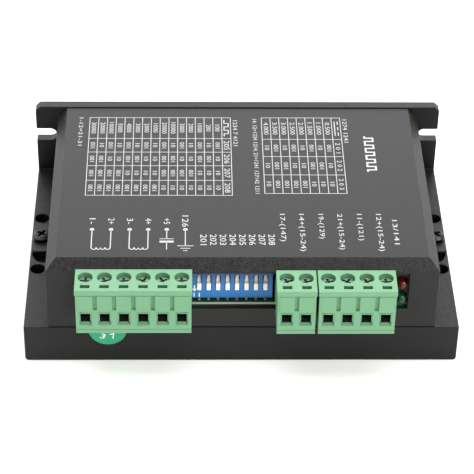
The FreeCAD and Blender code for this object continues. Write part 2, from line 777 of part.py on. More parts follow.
# ---------------------------------------------------------------- DIP switch
dip_back = D.dip_front + D.dip_deep
dip_block = box(D.dip_left, D.dip_right, D.dip_front, dip_back, D.dip_low, D.dip_high)
lever_slots = [
    box(x - D.dip_slot_half, x + D.dip_slot_half, D.dip_front - 1, D.dip_front + D.dip_slot_deep,
        D.dip_slot_low, D.dip_slot_high)
    for x in LEVERS
]
sub_part(minus(dip_block, lever_slots), "dip_switch_body")

for number, x in enumerate(LEVERS, start=1):
    lever = doc.addObject("Part::Wedge", "Lever")
    bind(
        lever,
        Ymin=0, Ymax=D.lever_deep,
        Xmin=-D.lever_half, Xmax=D.lever_half,
        Zmin=0, Zmax=D.lever_tall,
        X2min=-D.lever_back_half, X2max=D.lever_back_half,
        Z2min=0, Z2max=D.lever_tall,
    )
    place(lever, x, D.dip_front - D.lever_out, D.lever_low)
    sub_part(lever, f"dip_lever_{number}")

switch_pins = []
for x in LEVERS:
    left = x - D.dip_pin_half
    right = x + D.dip_pin_half
    switch_pins.append(box(
        left, right, D.dip_pin_front - D.dip_pin_half, D.dip_pin_front + D.dip_pin_half,
        D.pin_foot, D.dip_low,
    ))
    arm = box(left, right, dip_back, D.dip_pin_back + D.dip_pin_half,
              D.dip_pin_high - D.dip_pin_half * 2, D.dip_pin_high)
    leg = box(left, right, D.dip_pin_back - D.dip_pin_half, D.dip_pin_back + D.dip_pin_half,
              D.pin_foot, D.dip_pin_high)
    switch_pins.append(union([arm, leg]))
sub_part(union(switch_pins), "dip_switch_pins")

# ---------------------------------------------------------------- indicator LEDs
holder = box(
    D.led_x - D.holder_half, D.led_x + D.holder_half,
    D.holder_front, D.holder_back, D.board_top, D.holder_high,
)
led_holes = [
    cylinder(D.led_hole_r, D.holder_back - D.holder_front + 2, D.led_x, D.holder_front - 1, z, FORWARD)
    for z in (D.alarm_z, D.power_z)
]
sub_part(minus(holder, led_holes), "led_holder")


def led(label, z, leg_y):
    """A round LED lying on its side with its dome forward and two bent leads."""
    barrel = cylinder(D.led_r, D.led_back - D.led_dome, D.led_x, D.led_dome, z, FORWARD)
    dome = doc.addObject("Part::Sphere", "Dome")
    bind(dome, Radius=D.led_r)
    place(dome, D.led_x, D.led_dome, z)
    leads = []
    for side in (1, -1):
        x = D.led_x + D.lead_apart * side * 0.5
        leads.append(box(x - D.lead_half, x + D.lead_half, D.led_back - 0.5, leg_y,
                         z - D.lead_half, z + D.lead_half))
        leads.append(box(x - D.lead_half, x + D.lead_half, leg_y - D.lead_half * 2, leg_y,
                         D.board_top, z))
    sub_part(union([barrel, dome] + leads), label)


led("alarm_led", D.alarm_z, D.holder_back + 2.4)
led("power_led", D.power_z, D.holder_back + 1.0)

# ---------------------------------------------------------------- parts inside
sub_part(union([
    cylinder(D.cap_r, D.cap_long, D.cap_x, D.cap_first_y + D.cap_step_y * i, D.board_top + D.cap_r, ALONG)
    for i in range(2)
]), "bulk_capacitors")

sub_part(box(
    D.chip_x - D.chip_half, D.chip_x + D.chip_half,
    D.chip_y - D.chip_half, D.chip_y + D.chip_half,
    D.board_top, D.board_top + D.chip_tall,
), "controller_chip")

optos = []
for i in range(3):
    left = D.opto_x + D.opto_step * i - D.opto_wide / 2
    optos.append(box(
        left, left + D.opto_wide, D.opto_y - D.opto_long / 2, D.opto_y + D.opto_long / 2,
        D.board_top, D.board_top + D.opto_tall,
    ))
sub_part(union(optos), "optocouplers")

transistors = []
for column in range(4):
    for line in range(2):
        left = D.fet_x + D.fet_step_x * (column - 1.5) - D.fet_wide / 2
        near_side = D.fet_y + D.fet_step_y * (line - 0.5) - D.fet_long / 2
        transistors.append(box(
            left, left + D.fet_wide, near_side, near_side + D.fet_long,
            board_low - D.fet_tall, board_low,
        ))
sub_part(union(transistors), "power_transistors")

sub_part(box(
    D.fet_x - D.pad_wide / 2, D.fet_x + D.pad_wide / 2,
    D.fet_y - D.pad_long / 2, D.fet_y + D.pad_long / 2,
    D.plate_top, board_low - D.fet_tall,
), "thermal_pad")

# ---------------------------------------------------------------- sticker
sub_part(
    cylinder(D.sticker_r, D.sticker_thick, D.sticker_x, -half_depth - D.sticker_thick,
             D.sticker_z, FORWARD),
    "round_sticker",
)

# ---------------------------------------------------------------- checks and files
doc.recompute()
faults = [
    f"{obj.Label}: {obj.State}" for obj in doc.Objects
    if "Invalid" in obj.State or "Error" in obj.State
]
for obj in SUB_PARTS:
    if obj.Shape.isNull() or not obj.Shape.isValid() or not obj.Shape.Solids:
        faults.append(f"{obj.Label}: bad shape")
if faults:
    raise RuntimeError("; ".join(faults))

os.makedirs("parts", exist_ok=True)
for obj in SUB_PARTS:
    obj.Shape.exportStep(f"parts/{obj.Label}.step")
    print(f"{obj.Label}: {len(obj.Shape.Solids)} solids, {obj.Shape.Volume:.2f} mm3")
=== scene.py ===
import json
import math

import bmesh
import bpy
from mathutils import Matrix, Vector


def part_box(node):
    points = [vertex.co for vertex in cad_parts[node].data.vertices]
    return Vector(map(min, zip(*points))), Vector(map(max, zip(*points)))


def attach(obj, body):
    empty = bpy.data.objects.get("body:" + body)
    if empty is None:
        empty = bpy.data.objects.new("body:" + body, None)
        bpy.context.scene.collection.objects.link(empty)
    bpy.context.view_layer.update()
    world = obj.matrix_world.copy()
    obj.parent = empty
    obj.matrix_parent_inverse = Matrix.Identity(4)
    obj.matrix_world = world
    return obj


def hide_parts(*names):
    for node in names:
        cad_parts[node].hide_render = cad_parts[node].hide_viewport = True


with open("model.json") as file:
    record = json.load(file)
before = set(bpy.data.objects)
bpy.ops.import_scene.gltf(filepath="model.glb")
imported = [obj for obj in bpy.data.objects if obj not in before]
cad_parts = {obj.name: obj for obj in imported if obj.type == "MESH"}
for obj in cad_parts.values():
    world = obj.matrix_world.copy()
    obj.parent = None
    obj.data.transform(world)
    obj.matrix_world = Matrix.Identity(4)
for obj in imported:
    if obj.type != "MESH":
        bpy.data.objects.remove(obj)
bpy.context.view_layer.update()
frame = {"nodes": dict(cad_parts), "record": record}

# Looks of the stepper driver module. Every shape below is in the CAD's own frame:
# +X right, +Y towards the back wall, +Z up. Numbers called mm are millimetres.
MM = 0.001
NODES = frame["nodes"]
SLOT = {part["node"]: part["material_slot"] for part in frame["record"]["subparts"]}
BODY = {
    node: body
    for body, members in frame["record"]["behaviour"]["bodies"].items()
    for node in members
}
scene = bpy.context.scene


# ---------------------------------------------------------------- materials
class Finish:
    """A procedural material: noise in the object's own coordinates feeds one shader."""

    def __init__(self, name, **settings):
        self.material = bpy.data.materials.new(name)
        self.material.use_nodes = True
        self.tree = self.material.node_tree
        self.shader = self.tree.nodes["Principled BSDF"]
        self.coords = self.add("ShaderNodeTexCoord").outputs["Object"]
        for setting, value in settings.items():
            self.shader.inputs[setting.replace("_", " ")].default_value = value

    def add(self, kind, **inputs):
        """A new node; an input is a number, a colour or another node's output."""
        node = self.tree.nodes.new(kind)
        for name, value in inputs.items():
            socket = node.inputs[name.replace("_", " ")]
            if isinstance(value, bpy.types.NodeSocket):
                self.tree.links.new(value, socket)
            else:
                socket.default_value = value
        return node

    def feed(self, output, socket):
        self.tree.links.new(output, self.shader.inputs[socket])
        return self

    def stretched(self, x, y, z):
        """Object coordinates with each axis scaled, so that noise becomes streaks."""
        node = self.add("ShaderNodeVectorMath", Vector=self.coords)
        node.operation = "MULTIPLY"
        node.inputs[1].default_value = (x, y, z)
        return node.outputs[0]

    def noise(self, grain, detail=2.0, coords=None):
        """Soft noise from 0 to 1 with grains of about that many millimetres."""
        node = self.add(
            "ShaderNodeTexNoise", Vector=coords or self.coords,
            Scale=1 / (grain * MM), Detail=detail, Roughness=0.6,
        )
        return node.outputs[0]

    def flakes(self, grain):
        """A random value from 0 to 1 on each of many small cells."""
        node = self.add("ShaderNodeTexVoronoi", Vector=self.coords, Scale=1 / (grain * MM))
        split = self.add("ShaderNodeSeparateColor", Color=node.outputs["Color"])
        return split.outputs[0]

    def along(self, axis):
        """A coordinate of the object in metres."""
        return self.add("ShaderNodeSeparateXYZ", Vector=self.coords).outputs[axis]

    def facing(self, axis):
        """The surface normal's component along an axis of the model."""
        normal = self.add("ShaderNodeNewGeometry").outputs["True Normal"]
        return self.add("ShaderNodeSeparateXYZ", Vector=normal).outputs[axis]

    def sloping(self, axis):
        """1 on faces halfway between facing up and facing along an axis, else 0."""
        product = self.value("MULTIPLY", self.facing(axis), self.facing(2))
        return self.remap(self.value("ABSOLUTE", product), 0.0, 1.0, 0.1, 0.45)

    def value(self, operation, *values):
        """A Math node's result, worked out from other nodes' outputs."""
        node = self.add("ShaderNodeMath")
        node.operation = operation
        for socket, value in zip(node.inputs, values):
            self.tree.links.new(value, socket)
        return node.outputs[0]

    def remap(self, value, low, high, start=0.0, end=1.0):
        node = self.add(
            "ShaderNodeMapRange", Value=value,
            From_Min=start, From_Max=end, To_Min=low, To_Max=high,
        )
        return node.outputs[0]

    def mixed(self, factor, first, second):
        """A blend of two colours, each a colour or another node's output."""
        node = self.add("ShaderNodeMix")
        node.data_type = "RGBA"
        for socket, value in ((0, factor), (6, first), (7, second)):
            if isinstance(value, bpy.types.NodeSocket):
                self.tree.links.new(value, node.inputs[socket])
            else:
                node.inputs[socket].default_value = value if socket == 0 else (*value, 1)
        return node.outputs[2]

    def colour(self, factor, first, second):
        return self.feed(self.mixed(factor, first, second), "Base Color")

    def rough(self, factor, low, high):
        return self.feed(self.remap(factor, low, high), "Roughness")

    def bump(self, *layers):
        """Relief from (value, depth in mm) layers, one on another."""
        normal = None
        for value, depth in layers:
            node = self.add("ShaderNodeBump", Strength=1.0, Distance=depth * MM, Height=value)
            if normal:
                self.tree.links.new(normal, node.inputs["Normal"])
            normal = node.outputs[0]
        return self.feed(normal, "Normal")


def grey(value):
    """A grey with a trace of blue."""
    return (value, value, value * 1.03)


def powder_paint():
    """Fine-textured dark paint on the folded sheet; its sloping faces get a coarser, lighter
    speckle, real grain partly painted as glints.
    """
    paint = Finish("powder_paint", Specular_IOR_Level=0.265)
    fine = paint.mixed(paint.flakes(0.32), grey(0.003), grey(0.009))
    plain = paint.mixed(paint.noise(14, 1), fine, grey(0.005))
    coarse = paint.flakes(0.36)
    # the sloping front and side faces: real coarse grain, lightened as painted glints where
    # the light catches the chamfers
    front = paint.mixed(coarse, (0.0, 0.0, 0.0), (0.019, 0.0175, 0.0195))
    side_slope_glints = paint.mixed(coarse, (0.0, 0.0, 0.0), (0.021, 0.018, 0.013))
    tone = paint.mixed(paint.sloping(1), plain, front)
    paint.feed(paint.mixed(paint.sloping(0), tone, side_slope_glints), "Base Color")
    paint.rough(paint.noise(0.5, 3), 0.4, 0.54)
    return paint.bump((paint.noise(0.5, 2), 0.016), (paint.noise(0.25), 0.008)).material


def anodised():
    """Black anodised extrusion: faint drawn lines along X; where it faces up, a real grain
    lightened as painted glints.
    """
    skin = Finish("black_anodised", Specular_IOR_Level=0.21)
    lines = skin.noise(0.35, 3, skin.stretched(0.02, 1, 1))
    drawn = skin.mixed(lines, grey(0.0055), grey(0.0045))
    # speckle on upward faces only: real grain, partly painted glints of the light from above
    grain = skin.mixed(skin.flakes(0.34), grey(0.0), grey(0.013))
    upward = skin.remap(skin.facing(2), 0.0, 1.0, 0.5, 0.9)
    skin.feed(skin.mixed(upward, drawn, grain), "Base Color")
    skin.rough(skin.noise(0.45, 3), 0.36, 0.54)
    return skin.bump((skin.noise(0.7, 2), 0.04), (lines, 0.004)).material


def metal(name, tint, low, high, grain=0.5):
    """Plated metal with faint wiping marks and a slightly uneven polish."""
    plate = Finish(name, Metallic=1.0)
    dark = [part * 0.78 for part in tint]
    plate.colour(plate.noise(grain * 2), dark, tint)
    plate.rough(plate.noise(grain, 3), low, high)
    return plate.bump((plate.noise(grain * 0.4), 0.002)).material


def moulded(name, tint, low=0.34, high=0.5, spread=0.1, sheen=0.4):
    """Moulded plastic: a spark-eroded matt grain and slow changes of tone."""
    body = Finish(name, Specular_IOR_Level=sheen)
    cool = [part * (1 - spread) for part in tint]
    warm = [min(1.0, part * (1 + spread)) for part in tint]
    body.colour(body.noise(5, 2), cool, warm)
    body.rough(body.noise(0.4, 3), low, high)
    return body.bump((body.noise(0.18, 2), 0.004)).material


def lens(name, tint, deep):
    """Tinted clear epoxy, denser towards the back."""
    epoxy = Finish(name, Transmission_Weight=0.6, IOR=1.45, Specular_IOR_Level=0.35)
    epoxy.colour(epoxy.noise(1.5), deep, tint)
    epoxy.rough(epoxy.noise(0.8), 0.16, 0.24)
    return epoxy.bump((epoxy.noise(0.9, 1), 0.003)).material


def board_mask():
    """Dark green solder mask with copper tracks just showing through."""
    mask = Finish("solder_mask", Specular_IOR_Level=0.5)
    tracks = mask.add(
        "ShaderNodeTexBrick", Vector=mask.coords, Scale=1 / (9 * MM), Mortar_Size=0.035,
    )
    raised = tracks.outputs["Fac"]
    mask.colour(raised, (0.006, 0.03, 0.014), (0.012, 0.055, 0.024))
    mask.rough(mask.noise(1.2), 0.22, 0.36)
    return mask.bump((raised, 0.02), (mask.noise(0.3), 0.002)).material


def board_rim():
    """Cut glass fibre, pale along the upper side; the part towards the underside is painted
    dark as shade.
    """
    rim = Finish("glass_fibre_rim", Specular_IOR_Level=0.3)
    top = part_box("circuit_board")[1].z
    # painted shade: pale over the rim's top 0.5 mm, dark below 0.75 mm
    shade_fade = rim.remap(rim.along(2), 0.0, 1.0, top - 0.75 * MM, top - 0.5 * MM)
    weave = rim.noise(0.5, 3, rim.stretched(0.2, 1, 2))
    pale = rim.mixed(weave, (0.22, 0.235, 0.2), (0.36, 0.375, 0.33))
    rim.feed(rim.mixed(shade_fade, (0.02, 0.03, 0.02), pale), "Base Color")
    rim.rough(weave, 0.5, 0.75)
    return rim.bump((weave, 0.02)).material


def switch_plastic():
    """Blue moulding, painted darker towards its top edge as shade under the cover."""
    low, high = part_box("dip_switch_body")
    shell = Finish("blue_plastic_shaded_top", Specular_IOR_Level=0.4)
    # painted shade under the cover's window edge, deepening towards the top
    shade_fade = shell.remap(shell.along(2), 0.0, 1.0, low.z + 4.0 * MM, high.z - 0.8 * MM)
    tone = shell.mixed(shade_fade, (0.012, 0.15, 0.42), (0.006, 0.025, 0.11))
    clouds = shell.remap(shell.noise(2.5), 0.0, 0.5)
    shell.feed(shell.mixed(clouds, tone, (0.012, 0.1, 0.32)), "Base Color")
    shell.rough(shell.noise(0.4, 3), 0.35, 0.5)
    return shell.bump((shell.noise(0.18), 0.004)).material


def track_plastic():
    """Cream nylon, painted dark brown towards the far end of each switch slot as shade under
    the cover.
    """
    track = Finish("track_nylon_shaded_end", Specular_IOR_Level=0.3)
    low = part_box("dip_lever_1")[0].z
    # painted shade: cream fading to dark brown towards the slot's top
    shade_fade = track.remap(track.along(2), 0.0, 1.0, low + 2.2 * MM, low + 4.4 * MM)
    tone = track.mixed(shade_fade, (0.84, 0.78, 0.66), (0.16, 0.12, 0.1))
    track.feed(track.mixed(track.noise(0.5), tone, (0.6, 0.55, 0.46)), "Base Color")
    track.rough(track.noise(0.4), 0.4, 0.55)
    return track.bump((track.noise(0.2), 0.004)).material


def lever_plastic():
    """Cream nylon, whiter at its lower finger edge; the upper part painted a darker cream as
    shade under the cover.
    """
    nylon = Finish("lever_nylon_shaded_top", Specular_IOR_Level=0.4)
    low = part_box("dip_lever_1")[0].z
    # painted shade: white low on the lever, darker cream higher up
    shade_fade = nylon.remap(nylon.along(2), 0.0, 1.0, low + 0.5 * MM, low + 2.0 * MM)
    tone = nylon.mixed(shade_fade, (0.86, 0.86, 0.84), (0.8, 0.75, 0.64))
    nylon.feed(nylon.mixed(nylon.noise(0.5), tone, (0.78, 0.76, 0.7)), "Base Color")
    nylon.rough(nylon.noise(0.3), 0.4, 0.55)
    return nylon.bump((nylon.noise(0.2), 0.004)).material


def ink(name, tint):
    """Screen-printed ink, a little uneven."""
    layer = Finish(name, Specular_IOR_Level=0.3)
    layer.colour(layer.noise(0.25, 3), [part * 0.86 for part in tint], tint)
    layer.rough(layer.noise(0.2), 0.5, 0.7)
    return layer.bump((layer.noise(0.1), 0.003)).material


def floor_paper():
    """Pale studio paper."""
    paper = Finish("floor_paper", Specular_IOR_Level=0.1)
    paper.colour(paper.noise(60, 2), (0.93, 0.93, 0.93), (0.95, 0.95, 0.95))
    paper.rough(paper.noise(30), 0.85, 0.95)
    return paper.bump((paper.noise(2), 0.01)).material


FINISH = {
    "black_sheet": powder_paint(),
    "black_aluminium": anodised(),
    "dark_steel": metal("dark_steel", (0.042, 0.04, 0.042), 0.5, 0.62, 0.4),
    "zinc": metal("zinc_plate", (0.6, 0.61, 0.59), 0.24, 0.42),
    "tinned_brass": metal("tinned_brass", (0.78, 0.68, 0.4), 0.22, 0.4),
    "board_green": board_mask(),
    "green_moulding": moulded("green_plastic", (0.115, 0.273, 0.146), 0.4, 0.55, 0.03),
    "blue_moulding": switch_plastic(),
    "white_moulding": lever_plastic(),
    "black_moulding": moulded("black_plastic", (0.012, 0.012, 0.013), 0.4, 0.6, 0.2),
    "red_lens": lens("red_epoxy", (0.2, 0.004, 0.005), (0.07, 0.001, 0.002)),
    "green_lens": lens("green_epoxy", (0.01, 0.13, 0.06), (0.003, 0.05, 0.022)),
    "grey_pad": moulded("thermal_pad", (0.4, 0.42, 0.43), 0.7, 0.85, 0.1),
    "sticker_green": moulded("sticker_film", (0.014, 0.27, 0.135), 0.3, 0.4, 0.06),
}

# finishes of some faces only, and of small pieces and marks; several below are painted shade,
# reflection or highlight
RIM = board_rim()
# painted shade: near-black inside each wire entry, where little light reaches
PAINTED_ENTRY_SHADE = moulded("entry_painted_shade", (0.003, 0.005, 0.004), 0.7, 0.9, sheen=0.1)
# painted shade: darker green inside the probe slots
PROBE_SLOT_SHADE = moulded("probe_slot_painted_shade", (0.035, 0.15, 0.07), 0.5, 0.7, sheen=0.2)
# painted shade: darker green on the screw wells' walls
WELL_SHADE = moulded("well_painted_shade", (0.08, 0.225, 0.115), 0.4, 0.55)
# painted shade: darker green on the funnel floor and sides of each wire entry
FUNNEL_SHADE = moulded("funnel_painted_shade", (0.075, 0.195, 0.095), 0.45, 0.6)
# painted reflection: terminal screw heads tinted with the green of the wells round them
SCREW_FACE_REFLECTION = metal("screw_face_painted_reflection", (0.3, 0.42, 0.33), 0.4, 0.55, 0.3)
# painted shade in the terminal screws' cross slots, tinted with a painted green reflection
SLOT_SHADE_STEEL = metal("screw_slot_painted_shade", (0.12, 0.16, 0.12), 0.45, 0.6)
# painted shade: black in the cover screws' cross recesses
CROSS_SHADE = metal("cross_recess_painted_shade", (0.01, 0.01, 0.01), 0.5, 0.7)
# painted shade: the cover screw heads' sides, darker than their tops
SCREW_SIDE_SHADE = metal("cover_screw_side_painted_shade", (0.008, 0.0075, 0.008), 0.5, 0.65)
# painted highlight: the cover screw heads' sloping crowns, lighter than their tops
SCREW_CROWN_HIGHLIGHT = metal("cover_screw_crown_painted_highlight", (0.065, 0.061, 0.065), 0.42, 0.56)
TRACK = track_plastic()
WHITE_INK = ink("white_ink", (0.48, 0.48, 0.49))
PALE_INK = ink("pale_ink", (0.88, 0.9, 0.88))
GOLD = metal("gold_pad", (0.72, 0.5, 0.26), 0.26, 0.42)
SOLDER = metal("solder", (0.66, 0.66, 0.64), 0.18, 0.35)


# ---------------------------------------------------------------- pieces
def piece(name, mesh, finishes, body, stands_for=()):
    """A finished object: linked, painted, riding on a body."""
    obj = bpy.data.objects.new(name, mesh)
    scene.collection.objects.link(obj)
    for finish in finishes:
        mesh.materials.append(finish)
    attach(obj, body)
    if stands_for:
        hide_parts(*stands_for)
    return obj


def mesh_from(bm, name):
    """The built shape as a mesh; the builder is freed."""
    mesh = bpy.data.meshes.new(name)
    bm.to_mesh(mesh)
    bm.free()
    return mesh


def middle(node):
    """The middle of a CAD node's box."""
    low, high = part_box(node)
    return (low + high) / 2


def middles(prefix, count):
    """X of the middles of numbered nodes, from the first."""
    return [middle(f"{prefix}{i + 1}").x for i in range(count)]


def with_halves(places):
    """The places and the points halfway between neighbours."""
    return places + [(a + b) / 2 for a, b in zip(places, places[1:])]


# places on the part that the faces are cut at, in metres
POLE_COUNTS = {"6way": 6, "2way": 2, "4way": 4}
POLES = {name: middles(f"screw_{name}_", count) for name, count in POLE_COUNTS.items()}
COVER_HEAD_RADIUS = 2.45 * MM
EAR_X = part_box("cover_screws")[1].x - COVER_HEAD_RADIUS
EAR_Y = 0.1 * MM
FLANGE_X, FLANGE_BACK, FLANGE_FRONT = 56.5 * MM, 10.5 * MM, -12.6 * MM
SPACER_X, SPACER_FRONT, SPACER_BACK = 46 * MM, -19 * MM, 27 * MM
RELIEF_Y = -6.8 * MM
SWITCH_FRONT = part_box("dip_switch_body")[0].y
RIM_END_X = 38.5 * MM  # the board's pale cut edge ends here, beside the lights

# where a node's flat faces are cut: X values, then Y values
CUTS = {
    "heatsink_base": (
        [sign * x for sign in (1, -1) for x in (EAR_X, FLANGE_X, SPACER_X)] + [0],
        [FLANGE_BACK, FLANGE_FRONT, EAR_Y, SPACER_FRONT, SPACER_BACK, RELIEF_Y],
    ),
    "top_cover": ([EAR_X, -EAR_X, 0], [EAR_Y]),
    "dip_switch_body": (with_halves(middles("dip_lever_", 8)), []),
    "circuit_board": ([RIM_END_X], []),
}
FUNNEL_DEPTH = 0.9 * MM  # how far in the funnel of a wire entry reaches, painted shade green; deeper in, the entry is painted black as shade
for name, places in POLES.items():
    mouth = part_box(f"plug_{name}_housing")[0].y + FUNNEL_DEPTH
    CUTS[f"plug_{name}_housing"] = (with_halves(places), [mouth])
    CUTS[f"header_{name}"] = (with_halves(places), [])
SHARP = math.radians(28)  # edges that turn by more than this are softened


def welded(node):
    """A CAD node's mesh with its seams closed and its flat faces whole.

    A flat face with holes is then cut through each hole's middle, so that every
    face left has one simple outline."""
    bm = bmesh.new()
    bm.from_mesh(NODES[node].data)
    bmesh.ops.remove_doubles(bm, verts=bm.verts, dist=0.001 * MM)
    bmesh.ops.dissolve_limit(
        bm, angle_limit=math.radians(0.6), verts=bm.verts, edges=bm.edges,
    )
    for axis, places in enumerate(CUTS.get(node, ())):
        normal = Vector((0, 0, 0))
        normal[axis] = 1
        for value in places:
            bmesh.ops.bisect_plane(
                bm, geom=bm.verts[:] + bm.edges[:] + bm.faces[:],
                dist=0.0001 * MM, plane_co=normal * value, plane_no=normal,
            )
    for face in bm.faces:
        face.smooth = True
    for edge in bm.edges:
        edge.smooth = edge.calc_face_angle(math.pi) < SHARP
    return bm


def rounded(node, radius, segments=2, finishes=None, paint=None, share=None, back=None):
    """The node's shape with softened edges, standing for the node.

    share(edge) gives the part of the radius that an edge gets; back is the Y
    where the shape ends."""
    bm = welded(node)
    if back is not None:
        bmesh.ops.bisect_plane(
            bm, geom=bm.verts[:] + bm.edges[:] + bm.faces[:],
            plane_co=(0, back, 0), plane_no=(0, 1, 0), clear_outer=True,
        )
        for face in bmesh.ops.holes_fill(bm, edges=bm.edges)["faces"]:
            for edge in face.edges:
                edge.smooth = False
    if share:
        weight = bm.edges.layers.float.new("bevel_weight_edge")
        for edge in bm.edges:
            edge[weight] = 0 if edge.smooth else share(edge)
    if paint:
        for face in bm.faces:
            face.material_index = paint(face)
    finishes = finishes or [FINISH[SLOT[node]]]
    mesh = mesh_from(bm, node)
    obj = piece(f"{node}_form", mesh, finishes, BODY[node], [node])
    if radius:
        soften = obj.modifiers.new("soft_edges", "BEVEL")
        soften.width = radius * MM
        soften.segments = segments
        soften.limit_method = "WEIGHT" if share else "ANGLE"
        soften.angle_limit = SHARP
        soften.use_clamp_overlap = False
        soften.harden_normals = True
        soften.miter_outer = "MITER_ARC"
    return obj


def revolved(bm, profile, centre, steps=32, axis="Y"):
    """Spin (radius, along) points in mm round an axis through a point in metres."""
    rings = []
    for radius, along in profile:
        ring = []
        for i in range(steps if radius > 0 else 1):
            angle = 2 * math.pi * i / steps
            u, v = radius * math.cos(angle), radius * math.sin(angle)
            local = Vector((u, along, v)) if axis == "Y" else Vector((u, v, along))
            ring.append(bm.verts.new(Vector(centre) + local * MM))
        rings.append(ring)
    for first, second in zip(rings, rings[1:]):
        for i in range(steps):
            quad = []
            for vert in (first[i % len(first)], first[(i + 1) % len(first)],
                         second[(i + 1) % len(second)], second[i % len(second)]):
                if vert not in quad:
                    quad.append(vert)
            if len(quad) > 2:
                bm.faces.new(quad).smooth = True
    return bm


def spun(name, profiles, finish, body, stands_for=(), steps=32, axis="Y"):
    """One piece made of (profile, centre) shapes of revolution."""
    bm = bmesh.new()
    for profile, centre in profiles:
        revolved(bm, profile, centre, steps, axis)
    bmesh.ops.recalc_face_normals(bm, faces=bm.faces)
    for edge in bm.edges:
        if edge.is_manifold:
            edge.smooth = edge.calc_face_angle() < math.radians(35)
    return piece(name, mesh_from(bm, name), [finish], body, stands_for)


def relief(name, boxes, radius, finish, body):
    """Low raised shapes with softened edges, from (low corner, high corner) pairs."""
    bm = bmesh.new()
    for low, high in boxes:
        low, high = Vector(low), Vector(high)
        shape = Matrix.Diagonal((*(high - low), 1))
        made = bmesh.ops.create_cube(
            bm, size=1, matrix=Matrix.Translation((low + high) / 2) @ shape,
        )
        edges = {edge for vert in made["verts"] for edge in vert.link_edges}
        bmesh.ops.bevel(bm, geom=list(edges), offset=radius * MM, segments=2, affect="EDGES")
    for face in bm.faces:
        face.smooth = False
    return piece(name, mesh_from(bm, name), [finish], body)


def inside_of(name):
    """Tells a plug's inner faces apart for painted shade: 1 wire entry, 2 probe slot, 3 screw
    well, 4 funnel.
    """
    low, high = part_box(f"plug_{name}_housing")
    axes = [middle(f"screw_{name}_{i + 1}") for i in range(len(POLES[name]))]

    def paint(face):
        here = face.calc_center_median()
        axis = min(axes, key=lambda point: abs(here.x - point.x))
        across, depth, below = abs(here.x - axis.x), here.y - low.y, high.z - here.z
        if across < 1.65 * MM and 0.22 * MM < depth < 9 * MM and 7.4 * MM < below < 12.2 * MM:
            return 1 if depth > FUNNEL_DEPTH else 4
        if across < 1.3 * MM and 1.4 * MM < depth < 2.8 * MM and 0.3 * MM < below < 5.4 * MM:
            return 2
        from_axis = math.hypot(across, here.y - axis.y)
        if from_axis < 2.0 * MM and 0.1 * MM < below < 2.95 * MM:
            return 3
        return 0

    return paint


def cross_slot(node):
    """Tells a terminal screw's faces apart: 1 in the cross slot, painted as shade, 0 the rest.
    """
    axis, top = middle(node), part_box(node)[1].z

    def paint(face):
        here = face.calc_center_median()
        from_axis = math.hypot(here.x - axis.x, here.y - axis.y)
        return int(from_axis < 1.45 * MM and 0.05 * MM < top - here.z < 0.9 * MM)

    return paint


def head_parts(face):
    """Tells a cover screw's faces apart: 1 cross recess and 2 side, painted as shade, 3
    sloping crown, painted as a highlight.
    """
    here = face.calc_center_median()
    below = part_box("cover_screws")[1].z - here.z
    from_axis = math.hypot(abs(here.x) - EAR_X, here.y - EAR_Y)
    if from_axis < 1.5 * MM and 0.05 * MM < below < 1.1 * MM:
        return 1
    slope = abs(face.normal.z)
    return 2 if slope < 0.3 else 3 if slope < 0.95 else 0


# ---------------------------------------------------------------- CAD shapes, softened
# housings, sheet and hardware keep the CAD's shape with their real edge radii in mm
EDGE_RADII = {
    "heatsink_base": 0.25, "board_screws": 0.1,
    "board_spacers": 0.1, "header_6way": 0.15, "header_2way": 0.15, "header_4way": 0.15,
    "header_pins": 0.1, "dip_switch_body": 0.12, "dip_switch_pins": 0.06,
    "led_holder": 0.15, "bulk_capacitors": 0.7, "controller_chip": 0.12,
    "optocouplers": 0.2, "power_transistors": 0.2, "thermal_pad": 0.15,
}
for node, radius in EDGE_RADII.items():
    rounded(node, radius)

# the cover's bends are rounder at its foot than at its top
cover_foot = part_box("top_cover")[0].z + 0.1 * MM
rounded(
    "top_cover", 0.36,
    share=lambda edge: 1 if all(v.co.z < cover_foot for v in edge.verts) else 0.4,
)
heads = rounded(
    "cover_screws", 0.1, paint=head_parts,
    finishes=[FINISH["dark_steel"], CROSS_SHADE, SCREW_SIDE_SHADE, SCREW_CROWN_HIGHLIGHT],
)
ASKEW = 0.6  # radians by which the tightened cross recesses stand away from square
for sign in (1, -1):
    axis = Vector((sign * EAR_X, EAR_Y, 0))
    turn = Matrix.Rotation(ASKEW * sign, 4, "Z")
    turn = Matrix.Translation(axis) @ turn @ Matrix.Translation(-axis)
    for vert in heads.data.vertices:
        if vert.co.x * sign > 0:
            vert.co = turn @ vert.co

# the housings' inner faces carry painted shade: black in the wire entries, darker greens in
# the funnels, probe slots and screw wells
for name in POLES:
    rounded(
        f"plug_{name}_housing", 0.14, paint=inside_of(name),
        finishes=[FINISH["green_moulding"], PAINTED_ENTRY_SHADE, PROBE_SLOT_SHADE, WELL_SHADE, FUNNEL_SHADE],
    )

# the levers end here, so that they slide over the cream tracks
LEVER_BACK = SWITCH_FRONT + 0.5 * MM
for node in sorted(NODES):
    if node.endswith("_contacts"):
        rounded(node, 0.05)
    elif node.startswith("screw_"):
        # screw tops get a painted green reflection, and their cross slots painted shade
        rounded(node, 0.07, finishes=[SCREW_FACE_REFLECTION, SLOT_SHADE_STEEL], paint=cross_slot(node))
    elif node.startswith("clamp_"):
        rounded(node, 0.1)
    elif node.startswith("dip_lever_"):
        rounded(node, 0.16, 3, back=LEVER_BACK)


def rim_or_mask(face):
    """Tells the board's faces apart: 1 the pale cut edge, 0 the rest."""
    return int(abs(face.normal.z) < 0.5 and face.calc_center_median().x < RIM_END_X)


rounded("circuit_board", 0, finishes=[FINISH["board_green"], RIM], paint=rim_or_mask)

